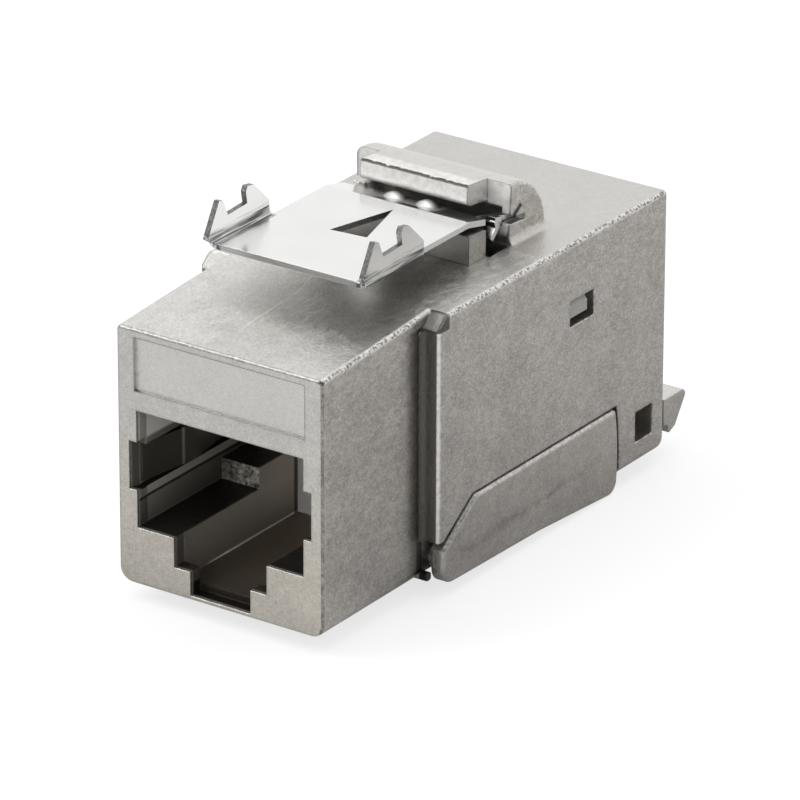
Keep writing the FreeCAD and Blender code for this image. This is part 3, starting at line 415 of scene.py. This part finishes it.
def lay_latch_seat(nodes, spot, grain, coat, front):
    """The latch's seat on the top: painted shade on its post, a painted pale lit front, and painted
    shade at the lip's foot, seam and ends. Returns the painted lit share.
    """
    # painted shade on the post under the latch
    post = spot.where(
        side_until=(5.45, 5.5), z_past=(16.1, 16.2), z_until=(18.75, 18.8), y_past=(17.2, 17.3),
        y_until=(19.3, 19.35))
    coat.lay(POST_SHADE, post, nodes.plus(0.42, nodes.times(spot.edge, 0.45)))
    # a painted pale lit front on the seat, mottled by the grain
    seat = spot.where(z_past=(17.2, 17.6), y_past=(19.3, 19.4))
    lit = spot.where(seat, side_until=(5.3, 5.4))
    coat.lay(nodes.blend(nodes.rise(grain.middle, 0.35, 0.65), *LIT_SEAT), lit, strength=0.85)
    # painted shade at the lip's foot
    coat.lay(LIP_FOOT_SHADE, spot.where(
        seat, front, spot.ramp("z", 19.45, 19.95, 0.6, 0.0), side_until=(3.85, 3.9)))

    # painted shade in the groove of the parting line along the lip
    along = nodes.add("ShaderNodeCombineXYZ", X=nodes.times(spot.fields["x"], MM)).outputs[0]
    wave = nodes.times(nodes.minus(nodes.noise(along, 0.8, detail=4.0, rough=0.7), 0.5), 0.60)
    behind = nodes.minus(nodes.plus(spot.fields["y"], wave), SEAM[0])
    over = nodes.minus(spot.fields["z"], SEAM[1])
    seam = nodes.fall(nodes.reach(behind, over), 0.09, 0.16)
    coat.lay(CREVICE_SHADE, spot.where(seam, side_until=(3.75, 3.85)), strength=0.95)

    # painted shade along the lip's end and rear edges
    high = spot.where(spot.edge, z_past=(19.3, 19.4), y_until=(21.8, 21.9))
    ends = nodes.most(spot.band("side", 3.82, 0.12, 0.05), spot.band("side", 5.5, 0.12, 0.05))
    rear = spot.where(spot.band("y", 21.6, 0.10, 0.05), side_past=(3.8, 3.85))
    coat.lay(LIP_END_SHADE, high, nodes.most(ends, rear), strength=0.75)
    return lit


def lay_label(spot, coat):
    """The blank label above the socket: a light plate with painted shade along its edges, darkest at
    its foot.
    """
    plate = spot.where(
        side_until=(5.95, 6.05), z_past=(12.2, 12.3), z_until=(15.5, 15.6), y_past=(0.1, 0.15),
        y_until=(0.3, 0.4))
    coat.lay(LABEL_PLATE, plate, strength=0.35)
    # painted shade along the recess's edges and at its foot
    recess = spot.where(side_until=(6.3, 6.4), y_until=(0.4, 0.5))
    edges = spot.where(recess, spot.edge, z_past=(11.9, 12.0), z_until=(15.7, 15.8))
    coat.lay(LABEL_EDGE_SHADE, edges, strength=0.55)
    foot = spot.where(recess, spot.band("z", 12.25, 0.12, 0.05), up_past=(0.2, 0.5))
    coat.lay(LABEL_FOOT_SHADE, foot, strength=0.80)


def lay_brow(nodes, spot, coat):
    """The nose's front edges at the top and on the right: painted shade that dims their highlight,
    broken up in patches.
    """
    turning = spot.where(back_past=(-0.97, -0.9), back_until=(-0.3, -0.1))
    rounded = nodes.most(spot.edge, turning)
    # painted shade on the rounded front edges, in patches
    patchy = nodes.noise(spot.place, 0.35, detail=3.0, rough=0.7)
    patch_cover = nodes.spread(patchy, 0.40, 0.62, 0.80, 0.40)
    brow = spot.where(rounded, patch_cover, y_until=(0.4, 0.5))
    coat.lay(TOP_BROW_SHADE, spot.where(brow, z_past=(15.75, 15.85)))
    coat.lay(RIGHT_BROW_SHADE, spot.where(brow, x_past=(6.9, 7.0)))


def lay_top(nodes, spot, grain, coat, tint):
    """The top: plainer and painted darker behind the latch's seat, with one long scratch in front of
    it.
    """
    # painted shade: upward faces behind the seat are darker and show less grain
    shaded_plain_tint = tuple(channel * share for channel, share in zip(tint, (0.86, 0.86, 0.85)))
    coat.lay(shaded_plain_tint, spot.where(y_past=(20.6, 21.0), up_past=(0.6, 0.9)), strength=0.65)
    veer = spot.ramp("y", 8.7, 13.2, 0.0, 1.03)
    track = nodes.plus(spot.fields["x"], nodes.plus(0.70, veer))
    scratch = spot.where(
        nodes.band(track, 0.0, 0.03, 0.05), nodes.spread(grain.middle, 0.35, 0.6, 0.15, 0.55),
        y_past=(2.6, 4.0), y_until=(12.6, 13.2), up_past=(0.6, 0.9), z_past=(15.0, 15.2))
    coat.lay(SCRATCH, scratch)


def lay_smear(nodes, spot, coat):
    """A dark smear low on the sides of the castings behind the housing's flange."""
    sway = nodes.vary(nodes.noise(spot.place, 3.0, detail=1.0), -0.35, 0.35)
    height = nodes.plus(spot.fields["z"], sway)
    cloud = nodes.noise(spot.place, 0.9, detail=3.0, rough=0.7)
    share = nodes.spread(cloud, 0.35, 0.65, 0.0, 0.42)
    coat.lay(SMEAR, spot.where(
        nodes.band(height, 1.5, 0.04, 0.42), share, side_past=(8.4, 8.5), y_past=(10.8, 12.0),
        y_until=(22.0, 27.5)))


def lay_flecks(nodes, spot, coat, rubbed):
    """Bright and dark flecks along the rubbed edges."""
    flecks = nodes.noise(spot.place, 0.20, rough=0.6)
    coat.lay(BRIGHT_FLECK, rubbed, nodes.spread(flecks, 0.50, 0.55, 0.0, 0.8))
    coat.lay(DARK_FLECK, rubbed, nodes.spread(flecks, 0.49, 0.44, 0.0, 0.85))


def casting(name, housing=False):
    """Nickel-plated zinc casting: leathery grain, blotches, and flecks on its rubbed edges; on the
    housing, painted light and shade as well.
    """
    made, nodes, shader, place = surface(name)
    spot = Spot(nodes, place, rounding=0.16)
    grain = Grain(nodes, place)
    side_contrast, fleck_strength = (1.35, 0.75) if housing else (1.0, 0.3)
    coat = Coat(nodes, plated_colour(nodes, spot, grain, ZINC, side_contrast))
    slant = spot.where(sideways_past=(0.3, 0.5), sideways_until=(0.92, 0.98), up_past=(0.12, 0.3))
    rubbed = nodes.most(spot.side_edge, slant)
    metallic, sheen = 1.0, 0.5
    socket_metallic, socket_sheen = 0.2, 0.12
    if housing:
        front = spot.where(back_until=(-0.9, -0.4))
        inside = inside_socket(spot)
        outside = nodes.minus(1.0, inside)
        off_flange = nodes.rise(nodes.absolute(nodes.minus(spot.fields["y"], 10.3)), 0.5, 0.6)
        rubbed = spot.where(rubbed, outside, off_flange, side_past=(6.85, 7.0))
        coat.lay(socket_colour(nodes, spot, front, spot.where(up_past=(0.4, 0.9))), inside)
        metallic = nodes.spread(inside, 0.0, 1.0, metallic, socket_metallic)
        sheen = nodes.spread(inside, 0.0, 1.0, sheen, socket_sheen)
        # painted shade: a warmer, slightly darker tint on the front faces, strongest low down
        front_tint_share = spot.where(front, outside, z_until=(5.0, 13.0))
        coat.colour = nodes.tinge(front_tint_share, coat.colour, PAINTED_FRONT_TINT)
        lay_flange(nodes, spot, grain, coat)
        lit = lay_latch_seat(nodes, spot, grain, coat, front)
        # less metallic where the front is painted lit, so that it stays pale
        metallic = nodes.minus(metallic, nodes.times(lit, front, 0.75))
        lay_label(spot, coat)
        lay_brow(nodes, spot, coat)
        lay_top(nodes, spot, grain, coat, ZINC)
    else:
        lay_smear(nodes, spot, coat)
    lay_flecks(nodes, spot, coat, nodes.times(rubbed, fleck_strength))
    nodes.set(shader, "Base Color", coat.colour)
    nodes.set(shader, "Metallic", metallic)
    nodes.set(shader, "Specular IOR Level", sheen)
    nodes.set(shader, "Roughness", nodes.vary(grain.middle, 0.31, 0.42))
    height = nodes.plus(grain.fine, nodes.times(grain.middle, 1.6))
    nodes.bump(shader, height, strength=0.6, depth=0.03, Normal=spot.round_normal)
    return made


def sheet_metal(name, tint, rough, crest=None):
    """Rolled strip with faint lines along the rolling direction, and a painted highlight at its crest.
    """
    made, nodes, shader, place = surface(name)
    streaks = nodes.noise(place, 1.6, detail=3.0, rough=0.6, stretch=DRAWN)
    cloud = nodes.noise(place, 2.5)
    shade = nodes.plus(nodes.vary(streaks, 0.45, 0.55), nodes.vary(cloud, -0.05, 0.05))
    coat = Coat(nodes, nodes.shaded(shade, tint, 0.85, 1.15))
    # a painted highlight along the crest
    if crest:
        metres = nodes.add("ShaderNodeSeparateXYZ", Vector=place).outputs
        depth = nodes.minus(nodes.times(metres["Y"], PER_METRE), NOSE_FRONT)
        coat.lay(CREST_HIGHLIGHT, nodes.band(depth, crest, 0.05, 0.12))
    nodes.set(shader, "Base Color", coat.colour)
    nodes.set(shader, "Metallic", 1.0)
    nodes.set(shader, "Roughness", nodes.vary(cloud, rough - 0.02, rough + 0.03))
    nodes.bump(shader, streaks, strength=0.3, depth=0.002)
    return made


def lay_sheared(nodes, spot, coat, raised):
    """The latch's sheared edges: smooth at its nose, torn elsewhere. Returns the torn share."""
    level = nodes.minus(1.0, raised)
    across = spot.where(sideways_until=(0.2, 0.3))
    upright = nodes.fall(nodes.absolute(spot.fields["up"]), 0.2, 0.3)
    middle_cut = spot.where(level, upright, side_until=(4.6, 4.7), y_past=(7.1, 7.2))
    cut = nodes.most(nodes.times(raised, across), middle_cut)
    nose_cut = spot.where(level, upright, side_until=(5.0, 5.1), y_until=(7.1, 7.2))
    coat.lay(SHEARED_NOSE, nose_cut, strength=0.75)
    # a painted highlight on the inner face of the left claw
    coat.lay(CLAW_INSIDE_SHINE, spot.where(raised, x_until=(-2.0, -1.0), right_past=(0.5, 0.7)))
    pits = nodes.rise(nodes.noise(spot.place, 0.12, detail=3.0, rough=0.7), 0.4, 0.6)
    coat.lay(nodes.blend(pits, *TORN_EDGE), cut, strength=0.9)
    return cut


def latch_steel(name, tint):
    """Bright rolled spring steel with dull sheared edges, and painted light and shade on its claws,
    bends, lip and dimples.
    """
    made, nodes, shader, place = surface(name)
    spot = Spot(nodes, place, rounding=0.05)
    cloud = nodes.noise(place, 3.0)
    coat = Coat(nodes, nodes.shaded(nodes.vary(cloud, 0.3, 0.7), tint, 0.95, 1.05))
    raised = spot.where(z_past=(CLAW_FOOT, CLAW_FOOT + 0.1))
    cut = lay_sheared(nodes, spot, coat, raised)
    # painted dark reflection lines along the bends at the claws' feet
    bend = spot.where(
        side_past=(4.72, 4.82), z_until=(CLAW_FOOT + 0.1, CLAW_FOOT + 0.35), y_until=(12.2, 12.5))
    lines = nodes.noise(place, 0.22, detail=3.0, rough=0.7, stretch=(1.0, 0.04, 1.0))
    coat.lay(BEND_REFLECTION_LINE, bend, nodes.spread(lines, 0.42, 0.55, 0.0, 0.9))
    # a painted shadow under the lip
    lip_shadow = spot.where(y_past=(19.5, 20.1), z_until=(19.3, 19.4), side_until=(4.25, 4.3))
    coat.lay(LIP_SHADOW_COLOUR, lip_shadow, strength=0.75)
    dimple = spot.where(y_past=(18.3, 18.6), side_until=(2.2, 2.4), y_until=(20.1, 20.3))
    # painted shade on the dimples' flanks, deeper the more they turn from up
    coat.lay(DIMPLE_FLANK_SHADE, dimple, spot.ramp("up", 0.97, 0.80, 0.10, 0.45))
    nodes.set(shader, "Base Color", coat.colour)
    nodes.set(shader, "Metallic", 1.0)
    dull = nodes.plus(nodes.times(cut, 0.25), nodes.times(dimple, 0.20))
    nodes.set(shader, "Roughness", nodes.plus(nodes.vary(cloud, 0.17, 0.21), dull))

    # the claws' shading normals tilt a little, as if their faces leaned, so that each mirrors another
    # part of the studio
    lean = nodes.times(raised, spot.fields["right"], spot.ramp("x", -1.0, 1.0, 0.42, -0.22))
    lift = nodes.add("ShaderNodeCombineXYZ", Z=lean).outputs[0]
    tilted = nodes.vector_math("ADD", spot.round_normal, lift).outputs[0]
    unit = nodes.vector_math("NORMALIZE", tilted).outputs[0]
    streaks = nodes.noise(place, 1.6, detail=3.0, rough=0.6, stretch=DRAWN)
    nodes.bump(shader, streaks, strength=0.3, depth=0.004, Normal=unit)
    return made


def plastic(name, tint, rough=0.5):
    """Moulded plastic with a fine grain."""
    made, nodes, shader, place = surface(name)
    fine = nodes.noise(place, 0.25, detail=3.0, rough=0.6)
    cloud = nodes.noise(place, 3.0)
    nodes.set(shader, "Base Color", nodes.shaded(nodes.vary(cloud, 0.0, 1.0), tint, 0.88, 1.1))
    nodes.set(shader, "Roughness", nodes.vary(fine, rough - 0.06, rough + 0.08))
    nodes.bump(shader, fine, strength=0.35, depth=0.01)
    return made


zinc = casting("zinc_casting")
zinc_shell = casting("zinc_shell", housing=True)
latch_sheet = latch_steel("latch_steel", LATCH_STEEL)
spring_strip = sheet_metal("spring_strip", SPRING_STEEL, rough=0.42, crest=SPRING_CREST)
gold = sheet_metal("gold_flash", GOLD, rough=0.22)
tin = sheet_metal("tin_plate", TIN, rough=0.32)
insert_plastic = plastic("insert_plastic", INSERT_PLASTIC)
block_plastic = plastic("block_plastic", BLOCK_PLASTIC)
manager_plastic = plastic("manager_plastic", MANAGER_PLASTIC)
board = plastic("board_laminate", BOARD_GREEN, rough=0.35)

FINISH = {
    "housing": zinc_shell, "press_door": zinc, "rear_cap": zinc, "latch_spring": latch_sheet,
    "screen_clip": spring_strip, "shield_spring_left": spring_strip,
    "shield_spring_right": spring_strip, "jack_insert": insert_plastic,
    "idc_block": block_plastic, "wire_manager": manager_plastic, "circuit_board": board,
}
for node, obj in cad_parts.items():
    if node.startswith("plug_contact"):
        finish = gold
    elif node.startswith("idc_blade"):
        finish = tin
    else:
        finish = FINISH[node]
    obj.data.materials.clear()
    obj.data.materials.append(finish)

# ---------------------------------------------------------------- floor, light and camera
FLOOR_HALF = 3.0                              # metres, far past the edge of any view
FLOOR_GAP = 0.02                              # the floor lies this far under the part
WHITE = (1.0, 1.0, 1.0, 1.0)
FLOOR_GREY = (0.25, 0.25, 0.25, 1.0)
scene = bpy.context.scene
scene.view_settings.view_transform = "Standard"


def rays(nodes):
    """The shares of the rays that the camera sends and of those that a surface mirrors."""
    path = nodes.add("ShaderNodeLightPath").outputs
    return path["Is Camera Ray"], nodes.most(path["Is Glossy Ray"], path["Is Transmission Ray"])


def floor_surface():
    """White to the camera, and shining into mirrors in front of the part and far from it."""
    made = bpy.data.materials.new("studio_floor")
    made.use_nodes = True
    nodes = Nodes(made.node_tree)
    out = nodes.add("ShaderNodeOutputMaterial")
    seen, mirrored = rays(nodes)
    position = nodes.add("ShaderNodeNewGeometry").outputs["Position"]
    spot = nodes.add("ShaderNodeSeparateXYZ", Vector=position).outputs
    along = nodes.minus(spot["Y"], nodes.times(spot["X"], 0.35))
    shine = nodes.spread(along, -24 * MM, -12 * MM, 0.44, 0.08)
    shine = nodes.plus(shine, nodes.spread(spot["Y"], -2 * MM, 20 * MM, 0.0, 0.06))
    away = nodes.reach(spot["X"], spot["Y"])
    shine = nodes.most(shine, nodes.spread(away, 60 * MM, 130 * MM, 0.0, 0.7))
    seen = nodes.times(seen, nodes.spread(away, 100 * MM, 600 * MM, 0.72, 1.0))
    glow = nodes.add("ShaderNodeEmission", Strength=nodes.plus(seen, nodes.times(mirrored, shine)))
    matt = nodes.add("ShaderNodeBsdfDiffuse", Color=FLOOR_GREY)
    both = nodes.add("ShaderNodeAddShader")
    nodes.tree.links.new(glow.outputs[0], both.inputs[0])
    nodes.tree.links.new(matt.outputs[0], both.inputs[1])
    nodes.tree.links.new(both.outputs[0], out.inputs[0])
    return made


floor_mesh = bpy.data.meshes.new("floor")
corners = ((-1, -1), (1, -1), (1, 1), (-1, 1))
floor_mesh.from_pydata([(x * FLOOR_HALF, y * FLOOR_HALF, 0) for x, y in corners], [], [(0, 1, 2, 3)])
floor = bpy.data.objects.new("floor", floor_mesh)
scene.collection.objects.link(floor)
floor.location.z = -FLOOR_GAP * MM
floor_mesh.materials.append(floor_surface())


def fill_world(world):
    """White to the camera; mirrors see it brighter at the back and on the left."""
    world.use_nodes = True
    nodes = Nodes(world.node_tree)
    seen, mirrored = rays(nodes)
    generated = nodes.add("ShaderNodeTexCoord").outputs["Generated"]
    towards = nodes.add("ShaderNodeSeparateXYZ", Vector=generated).outputs
    backdrop = nodes.plus(nodes.times(towards["Y"], 0.7), nodes.times(towards["X"], -0.3))
    backdrop = nodes.most(nodes.math("MINIMUM", nodes.plus(backdrop, 0.52), 1.05), 0.2)
    strength = nodes.plus(nodes.times(mirrored, backdrop), seen)
    strength = nodes.plus(strength, nodes.minus(1.0, nodes.most(mirrored, seen)))
    sky = nodes.add("ShaderNodeBackground", Color=WHITE, Strength=strength)
    out = nodes.add("ShaderNodeOutputWorld")
    nodes.tree.links.new(sky.outputs[0], out.inputs[0])


world = bpy.data.worlds.new("studio")
scene.world = world
fill_world(world)

LAMP_AIM = Vector((0, 0, 0.01))               # metres, like the lamps' places and sizes


def softbox(name, place, width, power):
    """A square lamp of the given power in watts, aimed at the part."""
    data = bpy.data.lights.new(name, "AREA")
    data.shape = "RECTANGLE"
    data.size = data.size_y = width
    data.energy = power
    lamp = bpy.data.objects.new(name, data)
    scene.collection.objects.link(lamp)
    lamp.location = place
    lamp.rotation_mode = "QUATERNION"
    lamp.rotation_quaternion = (LAMP_AIM - Vector(place)).to_track_quat("-Z", "Y")


softbox("key", (-0.35, -0.25, 0.45), width=0.35, power=1.6)
softbox("top", (0.0, 0.1, 0.6), width=0.5, power=1.2)

# The camera looks at aim; its angles are in degrees, its shifts and distance in millimetres.
CAMERA = {
    "azimuth": 34.63, "elevation": 23.80, "roll": 0.16, "lens": 321.165, "sensor": 36.0,
    "aim": (0, -3.25, 9.073), "distance": 419.7, "shift_right": 1.81, "shift_up": -0.18,
    "clip_start": 0.05, "clip_end": 20.0,
}
azimuth, elevation = math.radians(CAMERA["azimuth"]), math.radians(CAMERA["elevation"])
right = Vector((math.cos(azimuth), math.sin(azimuth), 0))
back = Vector((
    math.sin(azimuth) * math.cos(elevation), -math.cos(azimuth) * math.cos(elevation),
    math.sin(elevation)))
up = back.cross(right)
roll = Quaternion(back, math.radians(CAMERA["roll"]))
offset = right * CAMERA["shift_right"] + up * CAMERA["shift_up"] + back * CAMERA["distance"]
camera_data = bpy.data.cameras.new("camera")
camera_data.sensor_width = CAMERA["sensor"]
camera_data.lens = CAMERA["lens"]
camera_data.clip_start, camera_data.clip_end = CAMERA["clip_start"], CAMERA["clip_end"]
camera = bpy.data.objects.new("camera", camera_data)
scene.collection.objects.link(camera)
camera.location = Vector(CAMERA["aim"]) * MM + offset * MM
camera.rotation_mode = "QUATERNION"
camera.rotation_quaternion = roll @ (-back).to_track_quat("-Z", "Y")
scene.camera = camera
